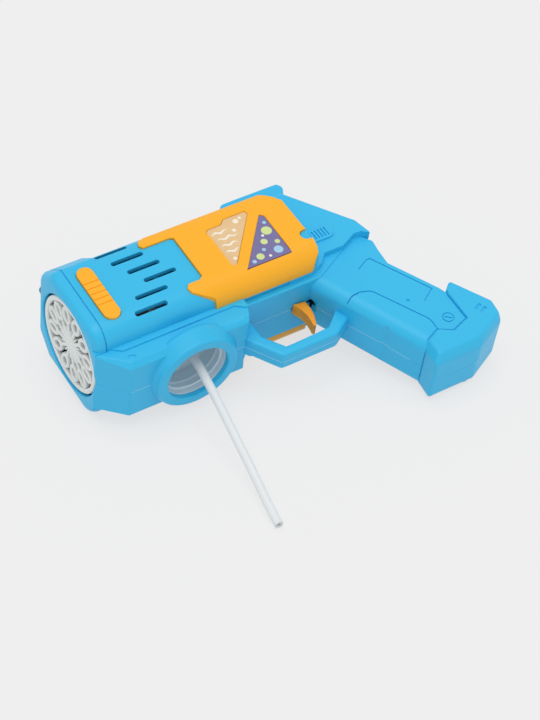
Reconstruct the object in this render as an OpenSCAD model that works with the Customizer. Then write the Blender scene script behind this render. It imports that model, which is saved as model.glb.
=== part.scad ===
// Battery bubble gun, lying on its right side with the left side up.
// X runs from the muzzle face back, Y up from the barrel axis and Z to the gun's left.
// Each piece is drawn in that frame, and lying() sets it down on the table.

/* [Receiver] */
// Length from the muzzle face to the rear face of the wide receiver
receiver_len = 110.4; // [106:0.2:122]
// Thickness of the receiver across both halves
receiver_w = 54.4; // [52:0.2:62]
// Height of the receiver between its flat top and bottom
receiver_h = 45.6; // [44.4:0.2:52]
// Radius of the receiver's four long edges
receiver_round = 9.2; // [7:0.1:11]
// Wall thickness of both shells
wall = 2.2; // [1.8:0.1:2.6]
// Length of the tall nose block round the wand
nose_len = 20.4; // [20:0.2:24]
// Height of the nose block's top over the receiver's top
nose_rise = 5.2; // [4:0.1:7]
// Length of each air slot
vent_len = 15.4; // [12:0.1:16]
// Width of each air slot
vent_w = 2.3; // [1.6:0.1:3]
// Spacing of the air slots up the side
vent_pitch = 7; // [6.4:0.1:7.2]

/* [Chin, collar and socket] */
// Thickness of the chin and the tail
base_w = 34.8; // [33:0.2:38]
// Depth of the chin under the receiver
chin_depth = 11.7; // [10.5:0.1:14]
// Length of the chin's flat bottom, from the muzzle face
chin_len = 67.5; // [65:0.5:70]
// Distance of the socket's axis from the muzzle face
collar_x = 41.6; // [39:0.2:44]
// Diameter of the bottle neck's opening in the collar
neck_d = 29.2; // [27:0.1:30]
// Width of the collar's lip round the opening
collar_lip = 5; // [4:0.1:6]

/* [Grip and guard] */
// Height of the grip from the receiver's bottom to the boot's bottom
grip_len = 65.1; // [60:0.1:74]
// Rake of the grip from the vertical, in degrees
grip_rake = 26.5; // [22:0.5:30]
// Thickness of the grip
grip_w = 28; // [27:0.2:32]
// Depth of the grip from front to back, along the barrel
grip_depth = 35; // [34:0.2:40]
// Radius of the grip's front edges
grip_round = 6; // [4:0.1:8]
// Thickness of the boot at the grip's end
boot_w = 30; // [29:0.2:34]
// Height of the boot's bevelled edge, across the gun
boot_edge = 4.5; // [3:0.1:6]
// Width of the bevel on the boot's bottom
boot_bevel = 2.7; // [1.5:0.1:3.5]
// Depth of the keel under the receiver
keel_depth = 3; // [2.4:0.1:4]
// Thickness of the keel
keel_w = 29.2; // [26:0.2:31]
// Height of the finger gap inside the guard
guard_gap = 19.4; // [18:0.1:24]
// Thickness of the guard's bar
guard_t = 4.5; // [3:0.1:5]
// Width of the guard across both halves
guard_w = 9.6; // [8:0.1:14]

/* [Covers and windows] */
// Height of the covers and side bars over the receiver's sides
cover_proud = 1; // [0.6:0.1:1.6]
// Depth of the pocket that a cover or bar sits in
cover_seat = 1.1; // [0.8:0.1:1.3]
// Clearance round each trim piece in its pocket
trim_gap = 0.1; // [0.05:0.05:0.2]

/* [Wand] */
// Diameter of the wand disc
disc_d = 44.8; // [42:0.1:45.2]
// Depth of the wand disc
disc_t = 3; // [2.4:0.1:3.4]
// Gap between the disc and the muzzle ring
disc_gap = 0.9; // [0.6:0.1:1.4]
// Number of film loops round the disc
petals = 12; // [9:1:14]
// Width of the thin ribs that hold the film
rib_w = 1.1; // [0.8:0.1:1.4]

/* [Drive] */
// Module of every gear
gear_m = 0.6; // [0.55:0.01:0.62]
// Diameter of the fan
fan_d = 26; // [22:0.2:26.4]
// Number of fan blades
blades = 6; // [4:1:8]
// Diameter of the motor's can
motor_d = 20; // [18:0.2:21]
// Outer diameter of the pump's hose
hose_d = 2.6; // [2.2:0.1:3]
// Outer diameter of the bottle tube
tube_d = 3.8; // [3.2:0.1:4.2]

/* [Trigger and batteries] */
// Thickness of the trigger
trigger_w = 5.8; // [5:0.1:7]
// Thickness of the web that joins the trigger's blade through its slot
web_w = 1.6; // [1.2:0.1:2.4]
// Diameter of each cell
cell_dia = 10.5; // [9.5:0.1:10.5]
// Length of each cell
cell_len = 44.5; // [42:0.5:45]

/* [Hidden] */
$fn = 64;
rb = receiver_h / 2;
rw = receiver_w / 2;
bw = base_w / 2;
edge_y = rb - receiver_round;
edge_z = rw - receiver_round;
chin_y = -rb - chin_depth;
keel_y = -rb - keel_depth;
gap_y = keel_y - guard_gap;
guard_y = gap_y - guard_t;
boot_y = -rb - grip_len;
run = grip_len * tan(grip_rake);
bore_r = disc_d / 2 + disc_gap;
seat_z = rw - cover_seat;
skin_z = rw + cover_proud;
front_x = -8.6;
back_x = front_x + grip_depth;

// Resting on the right cover's lower edge and the boot's lower right edge
cover_r = receiver_round + cover_proud;
boot_flat = boot_w / 2 - boot_edge;
rest_dy = -edge_y - boot_y - boot_bevel;
rest_dz = edge_z - boot_w / 2;
tilt = atan2(rest_dz, rest_dy) + asin(cover_r / norm([rest_dy, rest_dz]));
lift = edge_y * sin(tilt) + edge_z * cos(tilt) + cover_r;
sight_top = rb + 13.5;
sight_w = 16;
heel_x = receiver_len + 34.5 + run * 0.759;
high_y = sight_top * cos(tilt) + sight_w / 2 * sin(tilt);
low_y = boot_y * cos(tilt) - boot_flat * sin(tilt);
mid_x = heel_x / 2;
mid_y = (high_y + low_y) / 2;

// Places on the tail and on the grip, from the receiver's lower rear corner
function aft(x, y) = [receiver_len + x, -rb + y];
function on_grip(x, s) = [receiver_len + x + run * s, -rb - grip_len * s];
function laid(p) = [
    p[0] - mid_x,
    p[1] * cos(tilt) - p[2] * sin(tilt) - mid_y,
    p[1] * sin(tilt) + p[2] * cos(tilt) + lift
];

// Gear train: motor, idler and layshaft behind the wand
pa = 25;
backlash = 0.16;
wand_n = 36;
lay_n = 12;
big_n = 36;
small_n = 12;
pinion_n = 10;
motor_p = [-5, 0];
lay_a = 60;
lay_p = gear_m * (wand_n + lay_n) / 2 * [cos(lay_a), sin(lay_a)];
reach_m = gear_m * (pinion_n + big_n) / 2;
reach_l = gear_m * (small_n + big_n) / 2;
span = norm(lay_p - motor_p);
along = (reach_m * reach_m - reach_l * reach_l + span * span) / (2 * span);
across = sqrt(reach_m * reach_m - along * along);
way = (lay_p - motor_p) / span;
idler_p = motor_p + along * way + across * [way[1], -way[0]];
function aim(a, b) = atan2(b[1] - a[1], b[0] - a[0]);

// Running fits
shaft_r = 1.5;
axle_r = 1;
run_gap = 0.05;

// Trigger pivot and its working parts
pivot = [97.5 + receiver_len - 110.4, -8 - (rb - 22.8)];
spring_y = -rb + 1.3;
button_y = pivot[1] - 6;
stem_x = pivot[0] + 4;
switch_w = 6.4;
pull = 8;
function under_keel(x) = pivot + [x, (keel_y - 0.2 - pivot[1] - x * sin(pull)) / cos(pull)];

// Light board, between the two windows
board_p = aft(-18.8, 28.3);

// Screws that hold the halves together, on the right
screw_xy = [
    [21, chin_y + 4.9],
    [62.6, chin_y + 5],
    [46, rb - 7.3],
    aft(-9.4, receiver_h - 9.8),
    aft(16.6, 22.8),
    on_grip(26.2, 0.785),
    on_grip(9.6, 0.909)
];
post_h = [
    bw - wall / 2,
    bw - wall / 2,
    rw - wall - 0.4,
    rw - wall - 0.4,
    bw - wall / 2,
    boot_w / 2 - wall / 2,
    boot_w / 2 - wall / 2
];
screw_r = 1.25;
well_r = 2.7;
well_z = 6;

// Cells and door, along the grip
pack_s = 0.42;
pack_c = on_grip(9.1, pack_s);
door_l = cell_len + 6;
door_w = 2 * cell_dia + 2.4;
door_t = 1.2;
door_lip = 1.3;
door_screw_v = -door_l / 2 + 1.6;

// Bottle tube: its way from the nipple, laid on the table
nipple_y = -rb - 3.6;
nipple_x = collar_x + 2.4;
tube_from = laid([nipple_x, nipple_y, 0]);
tube_out = [0, -cos(tilt), -sin(tilt)];
tube_way = [[-0.4, -10, -2], [-1.4, -20, -4.6], [-2.6, -30, -7.4], [-3.8, -40, -10.4], [-5, -50, -13.4],
    [-6.2, -60, -16.4], [-7.6, -70, -19.4], [-9, -80, -22], [-9.8, -87, -23.4]];

blue = "#4cbcea";
orange = "#f9b339";
grey = "#c4c7c6";

// Sets a piece drawn in the gun's frame down on the table
module lying() {
    translate([-mid_x, -mid_y, lift])
    rotate([tilt, 0, 0])
    children();
}

// Runs a profile of Y and Z along the barrel
module along_x(from, to) {
    translate([from, 0, 0])
    rotate([90, 0, 90])
    linear_extrude(to - from)
    children();
}

// Runs a side view across the gun
module across_z(from, to) {
    translate([0, 0, from])
    linear_extrude(to - from)
    children();
}

module both_sides(w) {
    across_z(-w / 2, w / 2)
    children();
}

// A pin across the gun
module pin_z(p, r, from, to) {
    translate([p[0], p[1], from])
    cylinder(r = r, h = to - from);
}

// A shaft along the barrel
module pin_x(p, r, from, to) {
    translate([from, p[0], p[1]])
    rotate([0, 90, 0])
    cylinder(r = r, h = to - from);
}

// A bar with round ends between two places
module stadium(a, b, r) {
    d = b - a;
    translate(a)
    circle(r);
    translate(b)
    circle(r);
    translate(a)
    rotate(atan2(d[1], d[0]))
    translate([0, -r])
    square([norm(d), 2 * r]);
}

// A rectangle with round corners between two corners
module round_rect(a, b, r) {
    translate([a[0] + r, a[1]])
    square([b[0] - a[0] - 2 * r, b[1] - a[1]]);
    translate([a[0], a[1] + r])
    square([b[0] - a[0], b[1] - a[1] - 2 * r]);
    for (x = [a[0] + r, b[0] - r], y = [a[1] + r, b[1] - r])
        translate([x, y])
        circle(r);
}

// Receiver's section, grown by d
module receiver_section(d) {
    round_rect([-rb - d, -rw - d], [rb + d, rw + d], receiver_round + d);
}

// Nose block's section: the receiver's, with a tall roof and sloped shoulders
module nose_section(d) {
    receiver_section(d);
    polygon([
        [-edge_y, -rw - d],
        [rb - 4.8, -rw - d],
        [rb + nose_rise + d, -rw + 10 - d * 0.4],
        [rb + nose_rise + d, rw - 10 + d * 0.4],
        [rb - 4.8, rw + d],
        [-edge_y, rw + d]
    ]);
}

// Receiver's side view, with the sloped rear corners
module receiver_side() {
    polygon([
        [0, -rb - 9],
        [receiver_len - 3.4, -rb - 9],
        [receiver_len - 3.4, -rb],
        [receiver_len - 0.5, -rb + 1.8],
        [receiver_len, -rb + 4.2],
        [receiver_len, rb - 12.3],
        [receiver_len - 8, rb],
        [receiver_len - 8, rb + 9],
        [0, rb + 9]
    ]);
}

// Chin's side view
module chin_side(d) {
    polygon([
        [d, -rb + 6],
        [d, -rb - d],
        [10.8 + d * 0.4, chin_y + d],
        [chin_len - d * 0.6, chin_y + d],
        [chin_len + 3 - d, chin_y + 7],
        [chin_len + 3.2 - d, -rb + 6]
    ]);
}

// Chin's section, with bevelled lower edges
module chin_section(w) {
    polygon([
        [-rb + 8, -w],
        [chin_y + 2.1, -w],
        [chin_y, -w + 2.1],
        [chin_y, w - 2.1],
        [chin_y + 2.1, w],
        [-rb + 8, w]
    ]);
}

// Slanted cuts along the edges of the chin's sloped front, deeper away from the nose
module chin_cuts() {
    for (s = [0, 1])
        mirror([0, 0, s])
        translate([0, -rb, bw])
        rotate([0, 0, -atan2(chin_depth, 10.8)])
        rotate([45, 0, 0])
        rotate([0, 4.5, 0])
        translate([-20, -20, -0.4])
        cube([60, 40, 20]);
}

// Raised strip along the chin, under the receiver's edge
module ledge_side() {
    polygon([
        [6.6, -rb + 2],
        [7.6, -rb],
        [11, -rb - 2.9],
        [chin_len - 2.2, -rb - 2.6],
        [chin_len + 1.6, -rb - 5.4],
        [chin_len + 3, -rb - 5.4],
        [chin_len + 3, -rb + 2]
    ]);
}

// Wedges that round off the bezel's front edge, in steps from the muzzle face back
module bezel_edge(from, w) {
    translate([0, from, 0])
    rotate([-90, 0, 0])
    linear_extrude(w)
    polygon([
        [-1, 3.4],
        [0, 3.4],
        [0.5, 1.9],
        [1.5, 0.7],
        [3.4, 0],
        [3.4, -4],
        [-1, -4]
    ]);
}

// The same edge round a lower corner of the bezel
module bezel_corner() {
    intersection() {
        rotate([0, 90, 0])
        rotate_extrude()
        polygon([
            [receiver_round - 3.4, -1],
            [receiver_round - 3.4, 0],
            [receiver_round - 1.9, 0.5],
            [receiver_round - 0.7, 1.5],
            [receiver_round, 3.4],
            [receiver_round + 4, 3.4],
            [receiver_round + 4, -1]
        ]);
        translate([-2, -30, 0])
        cube([8, 30, 30]);
    }
}

// Nose block with its rounded bezel and the ring groove behind it
module nose() {
    slope = atan2(10, nose_rise + 4.8);
    difference() {
        along_x(0, nose_len)
        nose_section(0);
        for (s = [0, 1])
            mirror([0, 0, s]) {
                translate([0, 0, rw])
                bezel_edge(-rb, 2 * rb);
                translate([0, -edge_y, edge_z])
                bezel_corner();
                translate([0, rb - 4.8, rw])
                rotate([-slope, 0, 0])
                bezel_edge(-12, 40);
            }
        translate([0, rb + nose_rise, 0])
        rotate([-90, 0, 0])
        bezel_edge(-rw, receiver_w);
        along_x(5.1, 5.7)
        difference() {
            nose_section(2);
            nose_section(-0.6);
        }
    }
}

// Tail's side view behind the receiver
module tail_side(d) {
    polygon([
        aft(-16, receiver_h - d),
        aft(8.4 - d * 0.6, receiver_h - d),
        aft(28.9 - d, 17.5),
        aft(30.4 - d, 11.5),
        aft(30.8 - d, 7.5 + d),
        aft(27.6, 9.8 + d),
        aft(24.1, 10.1 + d),
        aft(15.8, 6.2 + d),
        aft(6.1, 6.2 + d),
        aft(2.1, 1.8 + d),
        aft(-4.4, -0.6 + d),
        aft(-16, -0.4 + d)
    ]);
}

// Keel's side view over the trigger window, running up into the tail
module keel_side(d) {
    polygon([
        [chin_len - 2, keel_y + d],
        aft(-1.4, -keel_depth + d),
        aft(16, 6.1 + d),
        aft(24.1, 10.1 + d),
        aft(20, 20),
        [chin_len - 2, -rb + 8]
    ]);
}

// Grip's side view
module grip_side(d) {
    polygon([
        on_grip(front_x - 0.3 + d, 0.0465),
        on_grip(front_x + 0.5 + d, 0.211),
        on_grip(front_x + 0.4 + d, 0.4),
        on_grip(front_x + 0.2 + d, 0.55),
        on_grip(front_x + 1 + d, 0.578),
        on_grip(front_x + d, 0.63),
        on_grip(front_x - 0.6 + d, 0.77),
        on_grip(front_x - 1 + d, 0.9),
        on_grip(back_x - d, 0.8),
        on_grip(back_x - 0.2 - d, 0.527),
        on_grip(back_x + 0.4 - d, 0.488),
        on_grip(back_x - 0.6 - d, 0.14),
        on_grip(back_x + 7.2 - d, -0.07),
        on_grip(back_x + 6, -0.16),
        on_grip(front_x + 8, -0.16)
    ]);
}

// Grip's section square to its front edge, with round front corners
module grip_round_section(w, r) {
    round_rect([-r, -w], [80, w], r);
}

// Boot's corners, from the grip's front round the bottom to the notch
function boot_corner(d) = [
    on_grip(front_x + 0.2 + d, 0.84),
    on_grip(front_x - 5.9 + d, 1 - d / grip_len),
    on_grip(9.2 - d * 0.4, 1 - d / grip_len),
    on_grip(29.8 - d, 0.874),
    on_grip(34.5 - d, 0.759),
    on_grip(32.9 - d * 0.8, 0.465 + d / grip_len),
    on_grip(28.3, 0.508 + d / grip_len)
];

// Boot's side view
module boot_side(d) {
    polygon(concat(boot_corner(d), [on_grip(8, 0.695)]));
}

// Slanted cut along an edge of the boot, on the left
module boot_cut(p, q, w) {
    d = q - p;
    translate([p[0], p[1], boot_flat])
    rotate([0, 0, atan2(d[1], d[0])])
    rotate([-atan2(w, boot_edge), 0, 0])
    translate([-20, -20, -10])
    cube([norm(d) + 40, 20, 30]);
}

// Line where the boot's raised sides end, zigzag across the grip
function boot_line() = [
    on_grip(27, 0.519),
    on_grip(25, 0.557),
    on_grip(17.2, 0.79),
    on_grip(6.5, 0.838),
    on_grip(2.3, 0.781),
    on_grip(-6.9, 0.834),
    on_grip(-13.5, 0.892)
];

// Boot with its bevelled edges and its zigzag sides
module boot() {
    c = boot_corner(0);
    difference() {
        both_sides(boot_w)
        boot_side(0);
        for (s = [0, 1])
            mirror([0, 0, s]) {
                boot_cut(c[0], c[1], 2.2);
                boot_cut(c[1], c[2], boot_bevel);
                boot_cut(c[2], c[3], 2.1);
                boot_cut(c[3], c[4], 1.2);
                across_z(grip_w / 2, boot_w)
                polygon(concat(boot_line(), [on_grip(-30, 0.8), on_grip(-30, 0.3), on_grip(26, 0.45)]));
            }
    }
}

// Guard's side view round the finger gap
module guard_side() {
    polygon([
        [chin_len - 1, keel_y + 2],
        [chin_len - 1, chin_y],
        [chin_len + 8.9, guard_y],
        aft(-6.2, guard_y + rb),
        aft(5.3, guard_y + rb + 7.2),
        aft(1.6, gap_y + rb + 11.4),
        aft(-0.9, gap_y + rb + 6.2),
        aft(-3.7, gap_y + rb + 3.8),
        aft(-8.2, gap_y + rb),
        [chin_len + 13, gap_y],
        [chin_len + 6.5, gap_y + 9],
        [chin_len + 6.1, keel_y + 2]
    ]);
}

// Sighting rail on top: a low base and its row of bumps
module rail(d) {
    both_sides(18 - 2 * d)
    union() {
        translate([nose_len + 6, rb - 4])
        square([receiver_len - nose_len - 26, 8 - d]);
        for (i = [0:5])
            polygon([
                [nose_len + 9 + 10.5 * i + d, rb - 4],
                [nose_len + 10 + 10.5 * i + d, rb + 9 - d],
                [nose_len + 11.2 + 10.5 * i + d, rb + 10.2 - d],
                [nose_len + 15.8 + 10.5 * i - d, rb + 10.2 - d],
                [nose_len + 17 + 10.5 * i - d, rb + 9 - d],
                [nose_len + 18 + 10.5 * i - d, rb - 4]
            ]);
    }
}

// Rear sight block over the tail
module rear_sight(d) {
    both_sides(sight_w - 2 * d)
    polygon([
        aft(-16.6 + d, receiver_h - 4),
        aft(-16.6 + d, sight_top + rb - 3 - d),
        aft(-14.4 + d, sight_top + rb - d),
        aft(15.2 - d, sight_top + rb - d),
        aft(17 - d, sight_top + rb - 3 - d),
        aft(14.6 - d, receiver_h + 6),
        aft(6 - d, receiver_h - 4)
    ]);
}

// Flared collar round the bottle socket, with a round lip and a round shoulder
module collar() {
    lip = neck_d / 2 + collar_lip;
    translate([collar_x, 0, 0])
    rotate([-90, 0, 0])
    rotate_extrude()
    union() {
        translate([0, chin_y - 4.1])
        square([lip - 1.6, 9.3]);
        translate([lip - 1.6, chin_y - 2.5])
        circle(1.6);
        polygon([
            [lip - 1.6, chin_y - 2.5],
            [lip, chin_y - 2.5],
            [lip + 1.9, chin_y + 0.9],
            [lip + 1.9, chin_y + 3.2],
            [lip - 1.6, chin_y + 3.2]
        ]);
        translate([lip - 0.1, chin_y + 3.2])
        circle(2);
    }
}

// Ribbed tab on each side of the tail
module tail_tabs() {
    both_sides(base_w + 2)
    stadium(aft(-4, 16.1), aft(12.9, 16.1), 3.5);
}

// Gaps between the tab's ribs, on the left
module tab_gaps() {
    for (i = [0:6])
        translate([receiver_len + 3.2 + 1.6 * i, -rb + 13.7, bw + 0.4])
        cube([0.7, 4.8, 2]);
}

// Outside of both halves
module outside() {
    intersection() {
        along_x(nose_len, receiver_len)
        receiver_section(0);
        both_sides(receiver_w + 2)
        receiver_side();
    }
    nose();
    intersection() {
        both_sides(base_w)
        chin_side(0);
        difference() {
            along_x(-1, chin_len + 6)
            chin_section(bw);
            chin_cuts();
        }
    }
    both_sides(base_w + 1.4)
    ledge_side();
    both_sides(base_w)
    tail_side(0);
    tail_tabs();
    both_sides(keel_w)
    keel_side(0);
    intersection() {
        both_sides(grip_w)
        grip_side(0);
        grip_block();
    }
    boot();
    both_sides(guard_w)
    guard_side();
    rail(0);
    rear_sight(0);
    collar();
}

// Block with round front edges that the grip is cut from
module grip_block() {
    p = on_grip(front_x - 0.6, 0.77);
    q = on_grip(front_x + 0.5, 0.211);
    a = atan2(q[0] - p[0], q[1] - p[1]);
    translate([p[0], p[1], 0])
    rotate([0, 0, -a])
    rotate([-90, 0, 0])
    translate([0, 0, -60])
    linear_extrude(160)
    translate([grip_round, 0])
    grip_round_section(grip_w / 2, grip_round);
}

// Inside of both halves
module inside() {
    along_x(nose_len - wall, receiver_len - 6 - wall)
    receiver_section(-wall);
    along_x(wall, nose_len - wall)
    nose_section(-wall);
    both_sides(base_w - 2 * wall)
    chin_side(wall);
    both_sides(base_w - 2 * wall)
    tail_side(wall);
    both_sides(keel_w - 2 * wall)
    keel_side(wall);
    both_sides(grip_w - 2 * wall)
    grip_side(wall * 1.2);
    both_sides(grip_w - 2 * wall)
    boot_side(wall * 1.5);
    rail(wall);
    rear_sight(wall);
}

// Air slots in a side
module vents() {
    for (i = [0:5]) {
        x = nose_len + 1.1 + 4 * [0, 1, 2, 3, 1, 0][i];
        y = (2.5 - i) * vent_pitch + 0.5;
        across_z(10, rw + 1)
        stadium([x + vent_w / 2, y], [x + vent_len - vent_w / 2, y], vent_w / 2);
    }
}

// Cover's side view: two fingers in front, a notch behind; g opens it all round
module cover_side(g) {
    difference() {
        polygon([
            [receiver_len - 69.6 - g, rb - 8.2],
            [receiver_len - 68.6 - g, rb - 5.6 + g],
            [receiver_len - 65.4, rb - 4.2 + g],
            [receiver_len - 7.7 + g * 0.5, rb - 4.2 + g],
            [receiver_len - 0.3 + g, rb - 12.2],
            [receiver_len - 0.3 + g, -rb + 4.4],
            [receiver_len - 0.9 + g, -rb + 1.9],
            [receiver_len - 3.6 + g, -rb - 0.2],
            [receiver_len - 6.4 + g, -rb - 2],
            [receiver_len - 52.6 - g, -rb - 2],
            [receiver_len - 53.2 - g, -rb + 0.6],
            [receiver_len - 57.6 - g, -rb + 2.4],
            [receiver_len - 62 - g, -rb + 5],
            [receiver_len - 63 - g, -rb + 7.4],
            [receiver_len - 61.6 - g, -rb + 9.2 + g],
            [receiver_len - 56 - g, -rb + 9.2 + g],
            [receiver_len - 54 - g, -rb + 10.8 + g],
            [receiver_len - 54 - g, rb - 10.8 - g],
            [receiver_len - 55.5 - g, rb - 10 - g],
            [receiver_len - 68.4 - g, rb - 10 - g]
        ]);
        stadium([receiver_len - 1.7 + g, -rb + 11.2], [receiver_len + 6, -rb + 11.2], 2.8 - g);
    }
}

// Band of skin that a cover is cut from
module cover_band(g) {
    along_x(30, receiver_len + 4)
    difference() {
        receiver_section(cover_proud);
        receiver_section(-cover_seat - g);
        translate([-rb - 9, -rw - 9])
        square([receiver_h + 18, rw + 9 + edge_z - 1 - g]);
    }
}

// Front window's side view
module front_window_side(g) {
    polygon([
        [receiver_len - 39.8 + g, -rb + 9.9],
        [receiver_len - 37.6 - g, -rb + 9.4 + g],
        [receiver_len - 18.2 - g, rb - 12.6],
        [receiver_len - 18.5 - g, rb - 10.7 - g],
        [receiver_len - 29.5 + g, rb - 10.7 - g],
        [receiver_len - 32 + g, rb - 13 - g],
        [receiver_len - 38.8 + g, rb - 13.2 - g],
        [receiver_len - 39.8 + g, rb - 14.2 - g]
    ]);
}

// Rear window's side view
module rear_window_side(g) {
    polygon([
        [receiver_len - 34.5 + 2 * g, -rb + 5.6 + g],
        [receiver_len - 12.4 - g, -rb + 5.6 + g],
        [receiver_len - 12.2 - g, rb - 16.8 - g],
        [receiver_len - 14 - g, rb - 15.4 - 2 * g]
    ]);
}

// Side bar's outline beside the muzzle
module bar_side(g) {
    stadium([13.1, -12.1], [13.1, 10.5], 3.75 + g);
}

// Pockets and openings in a side
module side_cuts() {
    vents();
    tab_gaps();
    intersection() {
        both_sides(receiver_w + 10)
        cover_side(trim_gap);
        cover_band(trim_gap);
    }
    across_z(seat_z, rw + 2)
    bar_side(trim_gap);
    across_z(rw - 6, rw + 2)
    front_window_side(0);
    across_z(rw - 6, rw + 2)
    rear_window_side(0);
}

// Slot in the grip's front wall, which takes the blade when it is pulled
module blade_slot() {
    both_sides(trigger_w + 1)
    polygon([
        [pivot[0] + 5.4, keel_y + 0.3],
        [pivot[0] + 8.6, keel_y + 0.3],
        [pivot[0] + 8.6, keel_y - 4.4],
        [pivot[0] + 5.4, keel_y - 4.4]
    ]);
}

// Bores and slots that run through both halves
module through_cuts() {
    blade_slot();
    pin_x([0, 0], bore_r, -1, wall + 1);
    translate([collar_x, chin_y - 5, 0])
    rotate([-90, 0, 0])
    cylinder(d = neck_d, h = 8);
    translate([collar_x, chin_y - 1.6, 0])
    rotate([-90, 0, 0])
    cylinder(r = neck_d / 2 + 1.7, h = chin_depth + 5);
    both_sides(web_w + 0.6)
    polygon([
        [pivot[0] - 1.8, keel_y - 3],
        [pivot[0] - 1.8, -rb + 0.2],
        [pivot[0] + 9.3, -rb + 0.2],
        [pivot[0] + 9.3, keel_y - 3]
    ]);
}

// Ribs inside a half: motor cradles, air duct's bulkhead, trigger pivot, spring seat, switch stop and posts
module posts(r) {
    for (x = [39, 52])
        difference() {
            translate([x, motor_p[0] - 7, 0])
            cube([2, 14, rw - wall / 2]);
            pin_x(motor_p, motor_d / 2 + run_gap, x - 2, x + 4);
        }
    along_x(10, 12)
    difference() {
        nose_section(-wall / 2);
        circle(disc_d / 2 - 0.4 + run_gap);
    }
    translate([stem_x + 9, button_y - 3, switch_w / 2])
    cube([2, 6.6, bw - wall / 2 - switch_w / 2]);
    difference() {
        pin_z(pivot, 4, trigger_w / 2 + 0.4, rw - wall / 2);
        pin_z(pivot, axle_r + 0.5, 0, 12);
    }
    translate([stem_x + 8, spring_y - 2.4, 0])
    cube([2, 5.2, keel_w / 2 - wall / 2]);
    for (i = [0:len(screw_xy) - 1])
        pin_z(screw_xy[i], r, 0, post_h[i]);
}

// Left half's moulding before its cuts
module half_moulding(r) {
    intersection() {
        union() {
            difference() {
                outside();
                inside();
            }
            posts(r);
        }
        translate([-10, -150, 0])
        cube([260, 260, 60]);
    }
}

// Ribs behind the two contact plates, on the left
module contact_ribs() {
    for (v = [cell_len / 2 + plate_t, -cell_len / 2 - spring_h - 2])
        in_grip(-3, v, 4)
        cube([6, 2, grip_w / 2 - wall / 2 - 4]);
}

// A groove along a list of places, from its floor up
module groove(w, floor, r = 0.3) {
    for (i = [0:len(w) - 2])
        across_z(floor, boot_w)
        stadium(w[i], w[i + 1], r);
}

// Small moulded bracket on the chin's left side
module chin_mark() {
    groove([[11.7, -rb - 6.8], [12.4, -rb - 6], [15.2, -rb - 6.8], [14.6, -rb - 7.8]], bw - 0.3, 0.2);
}

// Moulded lines on the grip's left side: finger panel, rear panel, boot's line, ring, dot and slots
module grip_lines() {
    face = grip_w / 2 - 0.5;
    groove([on_grip(-7.2, 0.295), on_grip(-5.6, 0.287)], face - 2.1);
    groove([on_grip(-5.6, 0.287), on_grip(-3.9, 0.278)], face - 0.7);
    groove([
        on_grip(-3.9, 0.278),
        on_grip(0.7, 0.273),
        on_grip(3.9, 0.293),
        on_grip(4.6, 0.311),
        on_grip(6, 0.668),
        on_grip(5.5, 0.695),
        on_grip(2.7, 0.776)
    ], face);
    groove([
        on_grip(13.3, 0.098),
        on_grip(21, 0.049),
        on_grip(22.5, 0.051),
        on_grip(23.8, 0.465),
        on_grip(15.2, 0.529)
    ], face);
    groove(boot_line(), face, 0.4);
    across_z(face, boot_w)
    translate(on_grip(12.4, 0.723))
    difference() {
        circle(2.7);
        circle(2.2);
    }
    groove([on_grip(11.8, 0.709), on_grip(13, 0.737)], face);
    pin_z(on_grip(10, 0.48), 0.8, face, boot_w);
    for (s = [0.749, 0.787])
        across_z(boot_w / 2 - 0.5, boot_w)
        stadium(on_grip(24.6, s + 0.008), on_grip(27.6, s - 0.01), 0.8);
}

module left_shell() {
    color(blue)
    lying()
    difference() {
        union() {
            half_moulding(3);
            contact_ribs();
        }
        chin_mark();
        grip_lines();
        side_cuts();
        through_cuts();
        for (p = screw_xy)
            pin_z(p, screw_r + run_gap, -1, 9);
    }
}

// Boss for the battery door's screw and the light board's post
module right_posts() {
    difference() {
        in_grip(0, door_screw_v, cell_dia + 0.2)
        cylinder(r = 2.6, h = grip_w / 2 - door_t - cell_dia - 0.2);
        in_grip(0, door_screw_v, 0)
        cylinder(r = 1.35, h = grip_w);
    }
    pin_z(board_p, 2, 0.8, rw - wall / 2);
}

module right_shell() {
    color(blue)
    lying()
    mirror([0, 0, 1]) {
        right_posts();
        right_half();
    }
}

module right_half() {
    difference() {
        half_moulding(4.2);
        side_cuts();
        through_cuts();
        for (p = screw_xy) {
            pin_z(p, screw_r + 0.2, -1, 9);
            pin_z(p, well_r, well_z, rw + 1);
        }
        across_z(grip_w / 2 - wall - 1, grip_w / 2 + 1)
        door_side(door_lip);
        across_z(grip_w / 2 - door_t, grip_w / 2 + 1)
        door_side(0);
    }
}

module cover() {
    difference() {
        intersection() {
            both_sides(receiver_w + 10)
            cover_side(0);
            cover_band(0);
        }
        across_z(0, rw + 9)
        front_window_side(0);
        across_z(0, rw + 9)
        rear_window_side(0);
    }
}

module left_cover() {
    color(orange)
    lying()
    cover();
}

module right_cover() {
    color(orange)
    lying()
    mirror([0, 0, 1])
    cover();
}

module front_window() {
    across_z(rw - wall, skin_z - 0.5)
    front_window_side(trim_gap);
}

module rear_window() {
    across_z(rw - wall, skin_z - 0.5)
    rear_window_side(trim_gap);
}

module left_front_window() {
    color("#ead5b9")
    lying()
    front_window();
}

module left_rear_window() {
    color("#6f67a0")
    lying()
    rear_window();
}

module right_front_window() {
    color("#ead5b9")
    lying()
    mirror([0, 0, 1])
    front_window();
}

module right_rear_window() {
    color("#6f67a0")
    lying()
    mirror([0, 0, 1])
    rear_window();
}

module bar() {
    difference() {
        intersection() {
            across_z(seat_z, skin_z)
            bar_side(0);
            along_x(0, nose_len)
            receiver_section(cover_proud);
        }
        for (i = [-2:2])
            across_z(skin_z - 0.3, skin_z + 1)
            stadium([7.6, 3.1 * i - 0.8], [18.6, 3.1 * i - 0.8], 0.2);
    }
}

module left_bar() {
    color(orange)
    lying()
    bar();
}

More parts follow.
